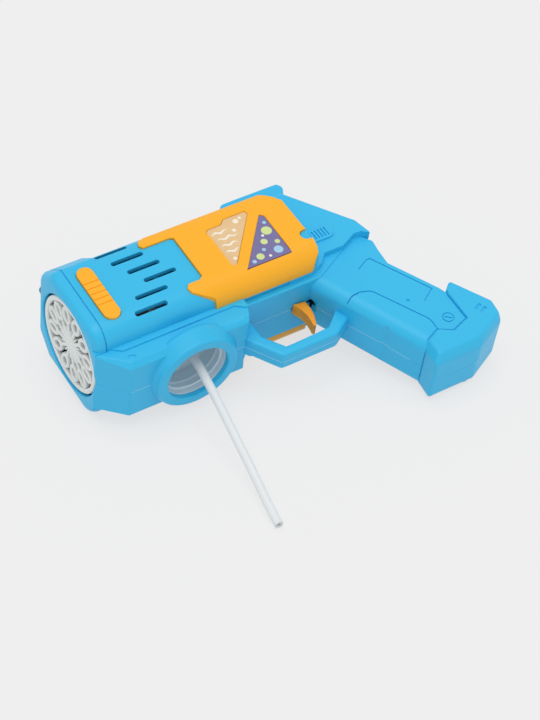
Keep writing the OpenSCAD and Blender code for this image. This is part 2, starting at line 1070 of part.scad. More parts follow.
module right_bar() {
    color(orange)
    lying()
    mirror([0, 0, 1])
    bar();
}

// Round bead sight on the nose
module front_sight() {
    color("#2f6f8f")
    lying()
    translate([5.2, rb + nose_rise, 0])
    rotate([-90, 0, 0])
    rotate_extrude()
    polygon([
        [0, 0],
        [2, 0],
        [2, 4.2],
        [1.7, 5.3],
        [1.1, 5.9],
        [0, 6.2]
    ]);
}

// Film loops of the wand: thick oval loops on stems round a hub, inside a rim
module wand_face() {
    rim = disc_d / 2;
    pitch = 360 / petals;
    loop_w = (rim - 6.6) * sin(pitch / 2) * 0.86;
    loop_c = rim - 3 - loop_w;
    difference() {
        circle(rim);
        circle(rim - 2.5);
    }
    circle(3.4);
    for (i = [0:petals - 1])
        rotate(pitch * (i + 0.5)) {
            difference() {
                stadium([loop_c - 2.4, 0], [loop_c, 0], loop_w);
                stadium([loop_c - 2.4, 0], [loop_c - 0.2, 0], loop_w - 1.7 * rib_w);
            }
            translate([2, -rib_w * 0.75])
            square([loop_c - 3.4 - loop_w, rib_w * 1.5]);
            translate([loop_c + loop_w - rib_w, -rib_w])
            square([3.4, 2 * rib_w]);
            rotate(pitch / 2)
            translate([2, -rib_w * 0.4])
            square([rim - 14, rib_w * 0.8]);
        }
}

module wand_disc() {
    color(grey)
    lying()
    difference() {
        union() {
            along_x(0.5, 0.5 + disc_t)
            wand_face();
            pin_x([0, 0], 3.2, 0.5 + disc_t, 7.4);
        }
        pin_x([0, 0], shaft_r, 2, 9);
    }
}

module wand_shaft() {
    color("#b9bcc0")
    lying()
    pin_x([0, 0], shaft_r, 2, 18.5);
}

// Involute gear outline
function inv_deg(a) = tan(a) * 180 / PI - a;
function half_tooth(n, r) = 90 / n + inv_deg(pa)
    - inv_deg(acos(min(1, n * gear_m / 2 * cos(pa) / r)))
    - backlash / (n * gear_m) * 90 / PI;
function tooth_radii(n) = [
    n * gear_m / 2 - 1.1 * gear_m,
    max(n * gear_m / 2 * cos(pa), n * gear_m / 2 - 0.7 * gear_m),
    n * gear_m / 2,
    n * gear_m / 2 + 0.8 * gear_m
];

module gear_outline(n, turn) {
    rr = tooth_radii(n);
    polygon([
        for (i = [0:n - 1], k = [0:7])
            let (
                r = rr[k < 4 ? k : 7 - k],
                h = half_tooth(n, r) * (k < 4 ? -1 : 1),
                a = turn + 360 / n * i + h
            )
            r * [cos(a), sin(a)]
    ]);
}

module gear(p, n, turn, from, to) {
    along_x(from, to)
    translate(p)
    gear_outline(n, turn);
}

module wand_gear() {
    color("#eceae2")
    lying()
    difference() {
        union() {
            gear([0, 0], wand_n, lay_a, 8, 11);
            pin_x([0, 0], 3.2, 7.4, 12);
        }
        pin_x([0, 0], shaft_r, 7, 13);
        for (a = [0:60:300])
            pin_x([6.2 * cos(a), 6.2 * sin(a)], 2, 7, 13);
    }
}

// Air chamber behind the wand, with the wand's bearing
module air_duct() {
    color("#dfe2e2")
    lying()
    difference() {
        union() {
            difference() {
                pin_x([0, 0], disc_d / 2 - 0.4, 4.6, 17.5);
                pin_x([0, 0], disc_d / 2 - 1.9, 4, 16);
            }
            pin_x([0, 0], 3.6, 13, 17.5);
            pin_x(lay_p, 3, 13, 17.5);
        }
        for (a = [150, 210, 270, 330])
            along_x(15, 18)
            polygon([
                [5 * cos(a - 20), 5 * sin(a - 20)],
                [14 * cos(a - 24), 14 * sin(a - 24)],
                [14.4 * cos(a), 14.4 * sin(a)],
                [14 * cos(a + 24), 14 * sin(a + 24)],
                [5 * cos(a + 20), 5 * sin(a + 20)]
            ]);
        pin_x([0, 0], shaft_r + run_gap, 12, 18);
        pin_x(lay_p, shaft_r + run_gap, 12, 18);
    }
}

// Trough under the wand that catches the liquid
module drip_tray() {
    color("#dfe2e2")
    lying()
    difference() {
        both_sides(22)
        tray_side(0);
        both_sides(19.6)
        tray_side(1.2);
    }
}

module tray_side(d) {
    polygon([
        [5.6 + d, -rb - 0.4 + d],
        [5.6 + d, -rb - 4 + d * 0.5],
        [12 + d * 0.5, chin_y + wall + d],
        [16.6 - d, chin_y + wall + d],
        [16.6 - d, -rb - 0.4 + d]
    ]);
}

module fan_housing() {
    color("#dfe2e2")
    lying()
    difference() {
        union() {
            difference() {
                pin_x(motor_p, fan_d / 2 + 2, 17.5, 33);
                pin_x(motor_p, fan_d / 2 + 0.8, 17, 34);
            }
            pin_x(motor_p, 6, 31, 32.8);
            for (a = [30, 150, 270])
                translate([31.2, motor_p[0], motor_p[1]])
                rotate([a, 0, 0])
                translate([0, 4, -1.2])
                cube([1.4, fan_d / 2 - 2.6, 2.4]);
        }
        pin_x(motor_p, 3.05, 30, 34);
    }
}

// Fan on the motor's front shaft
module fan() {
    color("#f2f2ee")
    lying()
    difference() {
        union() {
            pin_x(motor_p, 4, 20, 28);
            intersection() {
                difference() {
                    pin_x(motor_p, fan_d / 2, 20.4, 27.6);
                    pin_x(motor_p, 3, 20, 28);
                }
                for (i = [0:blades - 1])
                    translate([24, motor_p[0], motor_p[1]])
                    rotate([360 / blades * i, 0, 0])
                    rotate([0, 38, 0])
                    translate([-7, 0, -0.5])
                    cube([14, 20, 1]);
            }
        }
        pin_x(motor_p, axle_r, 19, 29);
    }
}

module motor() {
    color("#b4b6b9")
    lying()
    difference() {
        union() {
            intersection() {
                pin_x(motor_p, motor_d / 2, 33.2, 57.2);
                translate([33, motor_p[0] - motor_d * 0.42, -20])
                cube([25, motor_d * 0.84, 40]);
            }
            pin_x(motor_p, 3, 31.6, 33.2);
            pin_x(motor_p, 3, 57.2, 58.6);
        }
        pin_x(motor_p, axle_r + run_gap, 30, 60);
    }
}

module motor_shaft() {
    color("#c9cccf")
    lying()
    pin_x(motor_p, axle_r, 19, 68);
}

module motor_pinion() {
    color("#c8a24a")
    lying()
    difference() {
        gear(motor_p, pinion_n, aim(idler_p, motor_p) + 180 + 180 / pinion_n, 63, 67);
        pin_x(motor_p, axle_r, 62, 68);
    }
}

// Two plates on three pillars that carry the gears
module gear_frame() {
    color("#dfe2e2")
    lying()
    difference() {
        union() {
            for (x = [60, 73])
                along_x(x, x + 2)
                union() {
                    polygon([
                        [-14.5, -13.5],
                        [-14.5, 12],
                        [lay_p[0] - 4, lay_p[1] + 5],
                        [lay_p[0] + 4, lay_p[1] + 5],
                        [19.6, 6],
                        [19.6, -17]
                    ]);
                    translate([-3, -rw + wall])
                    square([6, receiver_w - 2 * wall]);
                }
            for (p = [[-11, 8], [-9, -10], [17, -14]])
                pin_x(p, 1.8, 61, 74);
        }
        pin_x(motor_p, 4.4, 59, 63);
        pin_x(idler_p, axle_r, 59, 76);
        pin_x(lay_p, shaft_r + run_gap, 59, 76);
    }
}

module idler_axle() {
    color("#c9cccf")
    lying()
    pin_x(idler_p, axle_r, 60, 75);
}

module idler_gear() {
    color("#eceae2")
    lying()
    difference() {
        union() {
            gear(idler_p, big_n, aim(idler_p, motor_p), 63.2, 66.6);
            gear(idler_p, small_n, aim(lay_p, idler_p) + 180 + 180 / small_n, 66.6, 71.8);
        }
        pin_x(idler_p, axle_r + run_gap, 62, 73);
    }
}

module layshaft() {
    color("#c9cccf")
    lying()
    pin_x(lay_p, shaft_r, 6.8, 87);
}

module lay_pinion() {
    color("#eceae2")
    lying()
    difference() {
        gear(lay_p, lay_n, lay_a + 180 + 180 / lay_n, 7.6, 11.4);
        pin_x(lay_p, shaft_r, 7, 12);
    }
}

module lay_gear() {
    color("#eceae2")
    lying()
    difference() {
        union() {
            gear(lay_p, big_n, aim(lay_p, idler_p), 68.2, 71.4);
            pin_x(lay_p, 3, 68.2, 72.4);
        }
        pin_x(lay_p, shaft_r, 68, 73);
    }
}

// Three-lobed rotor that squeezes the hose
hose_r = hose_d / 2;
loop_r = 9.2;
module pump_rotor() {
    color("#eceae2")
    lying()
    difference() {
        union() {
            pin_x(lay_p, 4, 77, 86);
            for (a = [90, 210, 330])
                along_x(78, 85)
                translate(lay_p)
                stadium([0, 0], [5 * cos(a), 5 * sin(a)], loop_r - hose_r - 5.3);
        }
        pin_x(lay_p, shaft_r, 76, 87);
    }
}

// Ring that the hose bears on, open below
module pump_housing() {
    color("#dfe2e2")
    lying()
    difference() {
        pin_x(lay_p, 12, 75, 86.5);
        pin_x(lay_p, loop_r + hose_r + 0.1, 76.4, 88);
        pin_x(lay_p, shaft_r + 0.3, 74, 78);
        translate([76.4, lay_p[0] - 14, lay_p[1] - 11])
        cube([12, 10, 22]);
    }
}

// Round tube swept along a list of places; up is never along the way
function unit(v) = v / norm(v);
function ring(p, d, up, r, n) =
    let (u = unit(cross(d, up)), v = unit(cross(d, u)))
    [for (i = [0:n - 1]) p + r * (cos(360 / n * i) * u + sin(360 / n * i) * v)];
function heading(w, i) = i == 0 ? w[1] - w[0]
    : i == len(w) - 1 ? w[i] - w[i - 1]
    : unit(w[i + 1] - w[i]) + unit(w[i] - w[i - 1]);

module swept(w, up, r, n) {
    last = len(w) - 1;
    polyhedron(
        points = [for (i = [0:last]) each ring(w[i], heading(w, i), up, r, n)],
        faces = concat(
            [for (k = [1:n - 2]) [0, k, k + 1]],
            [for (i = [0:last - 1], k = [0:n - 1])
                [i * n + k, (i + 1) * n + k, (i + 1) * n + (k + 1) % n]],
            [for (i = [0:last - 1], k = [0:n - 1])
                [i * n + k, (i + 1) * n + (k + 1) % n, i * n + (k + 1) % n]],
            [for (k = [1:n - 2]) [last * n, last * n + k + 1, last * n + k]]
        )
    );
}

// Pump hose: from the socket, round the rotor and forward to the tray
hose_way = concat(
    [[collar_x, -rb + 2.4, 0], [collar_x, -rb + 4, 0], [collar_x + 2, -rb + 5.4, 1.4],
        [collar_x + 6, -rb + 5.6, 3.6], [64, -rb + 5.6, 4.4],
        [76, -16, 4.4], [80, -13, 4.4], [81.5, -8, 4.4]],
    [for (a = [-60:-20:-300])
        [81.5, lay_p[0] - loop_r * cos(a), lay_p[1] + loop_r * sin(a)]],
    [[80.5, -6, 20.6], [77, -9, 20.6], [70, -13.4, 19.6], [56, -14, 19], [30, -14, 18.4], [24, -17, 15],
        [20.4, -rb - 0.4, 9.4], [18.8, -rb - 1.6, 8], [16.6, -rb - 1.6, 8]]
);
module pump_hose() {
    color("#e4e6e6")
    lying()
    swept(hose_way, [0.5, 0.35, 0.8], hose_r, 8);
}

// Threaded cup for the bottle's neck, with the hose's nipple
module bottle_socket() {
    r = neck_d / 2 - 0.4;
    top = -rb + 1;
    color("#cfd9de")
    lying()
    translate([collar_x, 0, 0])
    rotate([-90, 0, 0])
    union() {
        rotate_extrude()
        polygon([
            [0, top],
            [r + 2, top],
            [r + 2, chin_y - 1.5],
            [r, chin_y - 1.5],
            [r, chin_y + 1],
            [r - 1, chin_y + 1.6],
            [r, chin_y + 2.2],
            [r, chin_y + 4.4],
            [r - 1, chin_y + 5],
            [r, chin_y + 5.6],
            [r, top - 2],
            [0, top - 2]
        ]);
        translate([nipple_x - collar_x, 0, nipple_y])
        cylinder(r = 2.6, h = top - nipple_y);
        translate([0, 0, top])
        cylinder(r = 2, h = 1.4);
    }
}

module bottle_tube() {
    color("#dee1e3")
    swept(
        [tube_from, tube_from + 4 * tube_out, for (p = tube_way) tube_from + p],
        [1, 0, 0],
        tube_d / 2,
        8
    );
}

// Trigger: an arm inside, a thin web through the slot and a hooked finger blade below
module trigger_blade() {
    polygon([
        under_keel(-1.2),
        [pivot[0] - 0.9, keel_y - 1.2],
        [pivot[0] + 0.5, keel_y - 4.4],
        [pivot[0] + 1.1, keel_y - 8.4],
        [pivot[0] + 0.7, keel_y - 12.6],
        [pivot[0] + 0.4, keel_y - 13.8],
        [pivot[0] + 0.8, keel_y - 14.6],
        [pivot[0] + 1.7, keel_y - 14.4],
        [pivot[0] + 3, keel_y - 12],
        [pivot[0] + 4.4, keel_y - 8.2],
        [pivot[0] + 5, keel_y - 4.2],
        under_keel(4.9)
    ]);
}

module trigger() {
    color("#ee9e2d")
    lying()
    difference() {
        union() {
            both_sides(trigger_w)
            union() {
                translate(pivot)
                circle(4);
                polygon([
                    [pivot[0] - 3.4, pivot[1] + 1],
                    [pivot[0] - 1.2, -rb],
                    [pivot[0] + 3.6, -rb],
                    [pivot[0] + 3.4, pivot[1] + 1]
                ]);
            }
            both_sides(web_w)
            polygon([
                [pivot[0] - 1.2, -rb + 1],
                [pivot[0] - 0.9, keel_y - 2],
                [pivot[0] + 4.9, keel_y - 2],
                [pivot[0] + 3.6, -rb - 1],
                [pivot[0] + 3.6, -rb + 1]
            ]);
            both_sides(trigger_w)
            trigger_blade();
        }
        pin_z(pivot, axle_r + 0.5 + run_gap, -9, 9);
    }
}

module trigger_pin() {
    color("#c9cccf")
    lying()
    pin_z(pivot, axle_r + 0.5, -11.5, 11.5);
}

// Wound return spring behind the trigger
module trigger_spring() {
    from = stem_x - 0.1;
    to = stem_x + 7.9;
    color("#b9bcc0")
    lying()
    swept(
        [for (i = [0:60])
            [from + 0.4 + (to - from - 0.8) * i / 60, spring_y + 1.8 * cos(i * 30), 1.8 * sin(i * 30)]],
        [1, 0, 0],
        0.3,
        6
    );
}

module switch() {
    color("#2b2e33")
    lying()
    difference() {
        translate([stem_x + 3.4, button_y - 4, -switch_w / 2])
        cube([10, 8.6, switch_w]);
        pin_x([button_y, 0], 1.3 + run_gap, stem_x + 2, stem_x + 7);
    }
}

module switch_button() {
    color("#c0392b")
    lying()
    pin_x([button_y, 0], 1.3, stem_x - 0.2, stem_x + 5.4);
}

// Light board behind the windows, on its post
module light_board() {
    color("#3a7d4a")
    lying()
    union() {
        translate([board_p[0] - 3, board_p[1] - 7.5, -0.8])
        cube([6, 15, 1.6]);
        for (y = [-4.5, 4.5], s = [-1, 1])
            translate([board_p[0], board_p[1] + y, s * 0.8])
            rotate([s < 0 ? 180 : 0, 0, 0])
            rotate_extrude()
            polygon([[0, 0], [2, 0], [2, 2.6], [1.4, 3.6], [0, 4]]);
    }
}

// Places a piece on the cells' line down the grip
module in_grip(u, v, z) {
    translate([pack_c[0], pack_c[1], z])
    rotate([0, 0, grip_rake])
    translate([u, v, 0])
    children();
}

module cell(u, z) {
    in_grip(u, -cell_len / 2, z)
    rotate([-90, 0, 0])
    union() {
        cylinder(d = cell_dia, h = cell_len - 1.2);
        cylinder(d = 3.8, h = cell_len);
    }
}

cell_gap = cell_dia / 2 + 0.2;
plate_t = 0.6;
spring_h = 2.6;

module cell_a() {
    color("#3d7a56")
    lying()
    cell(-cell_gap, cell_gap);
}

module cell_b() {
    color("#3d7a56")
    lying()
    cell(cell_gap, cell_gap);
}

module cell_c() {
    color("#3d7a56")
    lying()
    cell(-cell_gap, -cell_gap);
}

module cell_d() {
    color("#3d7a56")
    lying()
    cell(cell_gap, -cell_gap);
}

module contact_plate() {
    color("#c9a24a")
    lying()
    in_grip(-door_w / 2 + 0.6, cell_len / 2, -cell_dia)
    cube([door_w - 1.2, plate_t, 2 * cell_dia]);
}

module contact_springs() {
    color("#b9bcc0")
    lying()
    in_grip(-door_w / 2 + 0.6, -cell_len / 2 - spring_h, -cell_dia)
    union() {
        cube([door_w - 1.2, plate_t, 2 * cell_dia]);
        for (u = [-cell_gap, cell_gap], z = [-cell_gap, cell_gap])
            translate([u + door_w / 2 - 0.6, plate_t, z + cell_dia])
            rotate([-90, 0, 0])
            rotate_extrude()
            polygon([[0, 0], [3.6, 0], [2, spring_h - plate_t], [0, spring_h - plate_t]]);
    }
}

// Battery door's outline on the right of the grip
module door_side(g) {
    translate(pack_c)
    rotate(grip_rake)
    translate([0, -1.6])
    round_rect([-door_w / 2 + g, -door_l / 2 + g], [door_w / 2 - g, door_l / 2 - g], 2.4 - g);
}

module battery_door() {
    color(blue)
    lying()
    difference() {
        across_z(-grip_w / 2, -grip_w / 2 + door_t)
        door_side(0.3);
        in_grip(0, door_screw_v, -grip_w / 2 - 1)
        cylinder(r = 1.4, h = 6);
    }
}

module door_screw() {
    color("#9fa3a8")
    lying()
    in_grip(0, door_screw_v, -grip_w / 2 - 0.6)
    union() {
        cylinder(r = 2.2, h = 0.6);
        cylinder(r = 1.3, h = 3.8);
    }
}

module shell_screws() {
    color("#9fa3a8")
    lying()
    for (p = screw_xy) {
        pin_z(p, screw_r, -well_z, 8);
        pin_z(p, 2.4, -well_z - 1.8, -well_z);
    }
}

left_shell();
right_shell();
left_cover();
right_cover();
left_front_window();
left_rear_window();
right_front_window();
right_rear_window();
left_bar();
right_bar();
front_sight();
wand_disc();
wand_shaft();
wand_gear();
air_duct();
drip_tray();
fan_housing();
fan();
motor();
motor_shaft();
motor_pinion();
gear_frame();
idler_axle();
idler_gear();
layshaft();
lay_pinion();
lay_gear();
pump_rotor();
pump_housing();
pump_hose();
bottle_socket();
bottle_tube();
trigger();
trigger_pin();
trigger_spring();
switch();
switch_button();
light_board();
cell_a();
cell_b();
cell_c();
cell_d();
contact_plate();
contact_springs();
battery_door();
door_screw();
shell_screws();
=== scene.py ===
import math

import bmesh
import bpy
from mathutils import Matrix, Vector
from mathutils.bvhtree import BVHTree


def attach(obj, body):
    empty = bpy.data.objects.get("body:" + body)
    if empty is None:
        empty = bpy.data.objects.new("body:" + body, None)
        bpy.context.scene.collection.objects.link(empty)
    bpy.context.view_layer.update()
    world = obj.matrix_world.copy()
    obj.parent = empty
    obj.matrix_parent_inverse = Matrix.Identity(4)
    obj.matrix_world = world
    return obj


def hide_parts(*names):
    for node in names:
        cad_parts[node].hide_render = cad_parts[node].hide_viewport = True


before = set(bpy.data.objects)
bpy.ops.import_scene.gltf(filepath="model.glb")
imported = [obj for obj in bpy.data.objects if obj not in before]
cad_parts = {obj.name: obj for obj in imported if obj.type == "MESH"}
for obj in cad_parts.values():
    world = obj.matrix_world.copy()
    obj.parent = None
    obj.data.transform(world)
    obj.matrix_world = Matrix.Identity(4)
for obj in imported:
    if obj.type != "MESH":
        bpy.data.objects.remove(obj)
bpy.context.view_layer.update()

# Studio. The gun lies on its right side on a pale seamless sheet and is seen from above its muzzle.
# The lens is a long one, so the photograph's frame of 540 x 720 is given by its focal length in pixels.
scene = bpy.context.scene
scene.view_settings.view_transform = "Standard"


def placed(name, data):
    """A new object in the scene."""
    item = bpy.data.objects.new(name, data)
    scene.collection.objects.link(item)
    return item


def meshed(name, shape):
    """A mesh made from a bmesh, which is freed."""
    mesh = bpy.data.meshes.new(name)
    shape.to_mesh(mesh)
    shape.free()
    return mesh


def linear(colour):
    """An sRGB hex colour as linear RGBA."""
    channels = [int(colour[i:i + 2], 16) / 255 for i in (1, 3, 5)]
    return (*[c / 12.92 if c <= 0.04045 else ((c + 0.055) / 1.055) ** 2.4 for c in channels], 1.0)


def blank_tree(owner):
    """The emptied node tree of a material or a world."""
    owner.use_nodes = True
    owner.node_tree.nodes.clear()
    return owner.node_tree


def add(tree, kind, inputs=None, **settings):
    """Adds a node; inputs gives each socket a value, or another node's output to link."""
    node = tree.nodes.new(kind)
    for name, value in settings.items():
        setattr(node, name, value)
    for name, value in (inputs or {}).items():
        if isinstance(value, bpy.types.NodeSocket):
            tree.links.new(value, node.inputs[name])
        else:
            node.inputs[name].default_value = value
    return node


def calc(tree, operation, *values):
    """The output of a Math node."""
    return add(tree, "ShaderNodeMath", dict(enumerate(values)), operation=operation).outputs[0]


def seen(tree):
    """1 where the lens sees a surface, straight, mirrored or through a clear piece, and 0 where it only
    lights others."""
    ray = add(tree, "ShaderNodeLightPath").outputs
    glint = calc(tree, "MAXIMUM", ray["Is Glossy Ray"], ray["Is Transmission Ray"])
    return calc(tree, "MAXIMUM", ray["Is Camera Ray"], glint)


focal_px, picture_height_px, sensor_mm = 1943.06, 720, 36
camera_at = Vector((-0.341474, -0.543346, 0.570557))
elevation, azimuth = math.radians(41.5666), math.radians(-32.1405)
lens = bpy.data.cameras.new("photo_camera")
lens.sensor_fit = "VERTICAL"
lens.sensor_height = sensor_mm
lens.lens = sensor_mm * focal_px / picture_height_px
camera = placed("photo_camera", lens)
camera.location = camera_at
towards = -Vector((
    math.sin(azimuth) * math.cos(elevation),
    -math.cos(azimuth) * math.cos(elevation),
    math.sin(elevation),
))
camera.rotation_euler = towards.to_track_quat("-Z", "Y").to_euler()
scene.camera = camera

# Sun and fill together give a face that looks up about the colour that is written for it.
sun_travel = Vector((0.1, 0.2, -1.0))
sun = bpy.data.lights.new("soft_window", "SUN")
sun.energy = 1.09
sun.angle = math.radians(50)
window = placed("soft_window", sun)
window.rotation_euler = sun_travel.to_track_quat("-Z", "Y").to_euler()

paper_colour, fill_level, paper_level = "#efefef", 0.66, 1.0
world = bpy.data.worlds.new("studio")
scene.world = world
sky = blank_tree(world)
fill = add(sky, "ShaderNodeBackground", {"Color": linear("#ffffff"), "Strength": fill_level})
paper = add(sky, "ShaderNodeBackground", {"Color": linear(paper_colour), "Strength": paper_level})
both = add(sky, "ShaderNodeMixShader", {0: seen(sky), 1: fill.outputs[0], 2: paper.outputs[0]})
add(sky, "ShaderNodeOutputWorld", {"Surface": both.outputs[0]})

# Matt paper with an even pale tone, so that its edge melts into the background and only a soft shadow shows.
floor_radius, floor_sides, glow_share = 6, 96, 0.8
disc = bmesh.new()
bmesh.ops.create_circle(disc, cap_ends=True, segments=floor_sides, radius=floor_radius)
floor = placed("floor", meshed("floor", disc))
floor_paint = bpy.data.materials.new("matt_paper")
tree = blank_tree(floor_paint)
matt = add(tree, "ShaderNodeBsdfDiffuse", {"Color": linear(paper_colour)})
share = calc(tree, "MULTIPLY", seen(tree), glow_share)
pale = add(tree, "ShaderNodeEmission", {"Color": linear(paper_colour), "Strength": paper_level})
both = add(tree, "ShaderNodeMixShader", {0: share, 1: matt.outputs[0], 2: pale.outputs[0]})
add(tree, "ShaderNodeOutputMaterial", {"Surface": both.outputs[0]})
floor.data.materials.append(floor_paint)

# Suction tube. A length of milky polyethylene tube, 3.8 mm outside, pushed over the nipple in the bottle socket.
# It is long enough to reach a bottle's bottom, and its cut end lies in front of the gun.
# The matrix takes the gun's own mm (x back from the muzzle, y up, z to its left) to metres as it lies.
tilt = math.radians(10.5821)
muzzle_at = Matrix.Translation((-0.0847677, 0.0255908, 0.0303914))
lying = muzzle_at @ Matrix.Rotation(tilt, 4, "X") @ Matrix.Scale(0.001, 4)
tube_diameter, tube_bore, tube_sides = 0.0038, 0.0028, 20
tube_from = Vector((-40.7677, -0.3602, 25.5432))
straight_run, steps_per_knot = 4, 3
tube_way = [
    (-0.4, -10, -2), (-1.4, -20, -4.6), (-2.6, -30, -7.4), (-3.8, -40, -10.4), (-5, -50, -13.4),
    (-6.2, -60, -16.4), (-7.6, -70, -19.4), (-9, -80, -22), (-9.8, -87, -23.4),
]
knots = [tube_from, tube_from + straight_run * Vector((0, -math.cos(tilt), -math.sin(tilt)))]
knots += [tube_from + Vector(p) for p in tube_way]
knots = [p / 1000 for p in knots]
route = []
for i in range(len(knots) - 1):
    a, b, c, d = (knots[max(0, min(len(knots) - 1, k))] for k in (i - 1, i, i + 1, i + 2))
    for step in range(steps_per_knot):
        t = step / steps_per_knot
        route.append(0.5 * (
            2 * b + (c - a) * t + (2 * a - 5 * b + 4 * c - d) * t ** 2 + (3 * b - a - 3 * c + d) * t ** 3
        ))
route.append(knots[-1])

rings = bmesh.new()
wall_rows = []
for radius in (tube_diameter / 2, tube_bore / 2):
    rows = []
    for i, at in enumerate(route):
        ahead = (route[min(i + 1, len(route) - 1)] - route[max(i - 1, 0)]).normalized()
        side = ahead.cross(Vector((1, 0, 0))).normalized()
        rise = ahead.cross(side)
        rows.append([
            rings.verts.new(at + radius * (math.cos(k) * side + math.sin(k) * rise))
            for k in (2 * math.pi * j / tube_sides for j in range(tube_sides))
        ])
    wall_rows.append(rows)
outer, inner = wall_rows
for j in range(tube_sides):
    k = (j + 1) % tube_sides
    for i in range(len(route) - 1):
        rings.faces.new((outer[i][j], outer[i][k], outer[i + 1][k], outer[i + 1][j]))
        rings.faces.new((inner[i][k], inner[i][j], inner[i + 1][j], inner[i + 1][k]))
    rings.faces.new((outer[0][k], outer[0][j], inner[0][j], inner[0][k]))
    rings.faces.new((outer[-1][j], outer[-1][k], inner[-1][k], inner[-1][j]))
bmesh.ops.recalc_face_normals(rings, faces=rings.faces)
rings.verts.index_update()
for face in rings.faces:
    face.smooth = len({vert.index // (tube_sides * len(route)) for vert in face.verts}) == 1
suction_tube = placed("suction_tube", meshed("suction_tube", rings))
lengthwise = suction_tube.data.attributes.new("lengthwise", "FLOAT_VECTOR", "POINT")
for number, value in enumerate(lengthwise.data):
    turn = 2 * math.pi * (number % tube_sides) / tube_sides
    value.vector = (math.cos(turn), math.sin(turn), number // tube_sides % len(route) / len(route))


def mixed(tree, share, first, second):
    """A colour between two, each a hex colour or a socket."""
    first, second = (linear(tone) if isinstance(tone, str) else tone for tone in (first, second))
    return add(tree, "ShaderNodeMix", {0: share, 6: first, 7: second}, data_type="RGBA").outputs[2]


def ranged(tree, value, to_low, to_high, from_low=0.0, from_high=1.0):
    """A value moved from one range to another, and held within it."""
    return add(tree, "ShaderNodeMapRange", {
        0: value, 1: from_low, 2: from_high, 3: to_low, 4: to_high,
    }).outputs[0]


# Extruded low-density polyethylene: milky, with faint draw lines along it and a soft sheen.
milky = bpy.data.materials.new("extruded_polyethylene")
tree = blank_tree(milky)
place = add(tree, "ShaderNodeAttribute", attribute_name="lengthwise").outputs["Vector"]
stretch = add(tree, "ShaderNodeMapping", {"Vector": place, "Scale": (2.5, 2.5, 1.2)})
draw = add(tree, "ShaderNodeTexNoise", {"Vector": stretch.outputs[0], "Scale": 1.0, "Detail": 2})
body = add(tree, "ShaderNodeBsdfPrincipled", {
    "Base Color": mixed(tree, draw.outputs[0], "#e3e7e9", "#e7ebec"),
    "Roughness": ranged(tree, draw.outputs[0], 0.26, 0.42),
    "IOR": 1.51, "Specular IOR Level": 0.3,
})
add(tree, "ShaderNodeOutputMaterial", {"Surface": body.outputs[0]})
suction_tube.data.materials.append(milky)
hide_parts("bottle_tube")
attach(suction_tube, "housing")

# Shell halves. Two mouldings of blue ABS, about 2.2 mm thick, screwed together from the right side.
# Every outside corner leaves the mould with a small radius, which catches the light along the edges.
# The seam's chamfer is painted a paler blue, a painted highlight for the pale line of light along the seam.
to_gun = lying.inverted()
weld, knife_top, arc_steps = 4e-6, 17, 4
corner_angle, shading_angle = math.radians(25), math.radians(24)
both_halves = bmesh.new()
for node in ("left_shell", "right_shell"):
    both_halves.from_mesh(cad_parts[node].data)
hull = BVHTree.FromBMesh(both_halves)
both_halves.free()


def evaluated(item):
    """An object with its modifiers applied."""
    return item.evaluated_get(bpy.context.evaluated_depsgraph_get())


def engraved(mould, way, near, far):
    """Cuts a groove along a way of (x, y, floor) in the gun's mm and frees the mould.
    The groove lies between two distances to the right of the way."""
    knife = bmesh.new()
    rows = []
    for i, (x, y, low) in enumerate(way):
        before, after = way[max(i - 1, 0)], way[min(i + 1, len(way) - 1)]
        runs = [Vector((q[0] - o[0], q[1] - o[1])) for o, q in ((before, way[i]), (way[i], after))]
        rights = [Vector((run.y, -run.x)).normalized() for run in runs if run.length > 0]
        across = sum(rights, Vector((0, 0)))
        across /= across.dot(rights[0])
        rows.append([
            knife.verts.new(lying @ Vector((x + across.x * off, y + across.y * off, z)))
            for off, z in ((near, low), (far, low), (far, knife_top), (near, knife_top))
        ])
    for a, b in zip(rows, rows[1:]):
        for k in range(4):
            knife.faces.new((a[k], a[(k + 1) % 4], b[(k + 1) % 4], b[k]))
    knife.faces.new(rows[0])
    knife.faces.new(rows[-1])
    bmesh.ops.recalc_face_normals(knife, faces=knife.faces)
    blank = placed("blank", meshed("blank", mould))
    blade = placed("knife", meshed("knife", knife))
    cut = blank.modifiers.new("line", "BOOLEAN")
    cut.operation = "DIFFERENCE"
    cut.solver = "EXACT"
    cut.object = blade
    mould = bmesh.new()
    mould.from_mesh(evaluated(blank).data)
    for used in (blank, blade):
        bpy.data.objects.remove(used)
    bmesh.ops.remove_doubles(mould, verts=mould.verts, dist=weld)
    bmesh.ops.triangulate(mould, faces=mould.faces)
    return mould


def sharp(edge):
    """An outside corner that is worth rounding."""
    return len(edge.link_faces) == 2 and edge.is_convex and edge.calc_face_angle(0) > corner_angle


def on_seam(edge):
    """An edge in the gun's middle plane."""
    seam_reach = 0.03
    return all(abs((to_gun @ vert.co).z) < seam_reach for vert in edge.verts)


def roomy(skin, edge, radius):
    """Both faces beside an edge go on, nearly flat, for as far as a radius needs."""
    needs, off_skin, same_way = 2.05, 0.25, 0.8
    for loop in edge.link_loops:
        along = (loop.link_loop_next.vert.co - loop.vert.co).normalized()
        inward = loop.face.normal.cross(along) * radius * needs
        for share in (0.15, 0.5, 0.85):
            spot = edge.verts[0].co.lerp(edge.verts[1].co, share) + inward
            _, normal, _, gap = skin.find_nearest(spot)
            if gap > radius * off_skin or normal.dot(loop.face.normal) < same_way:
                return False
    return True


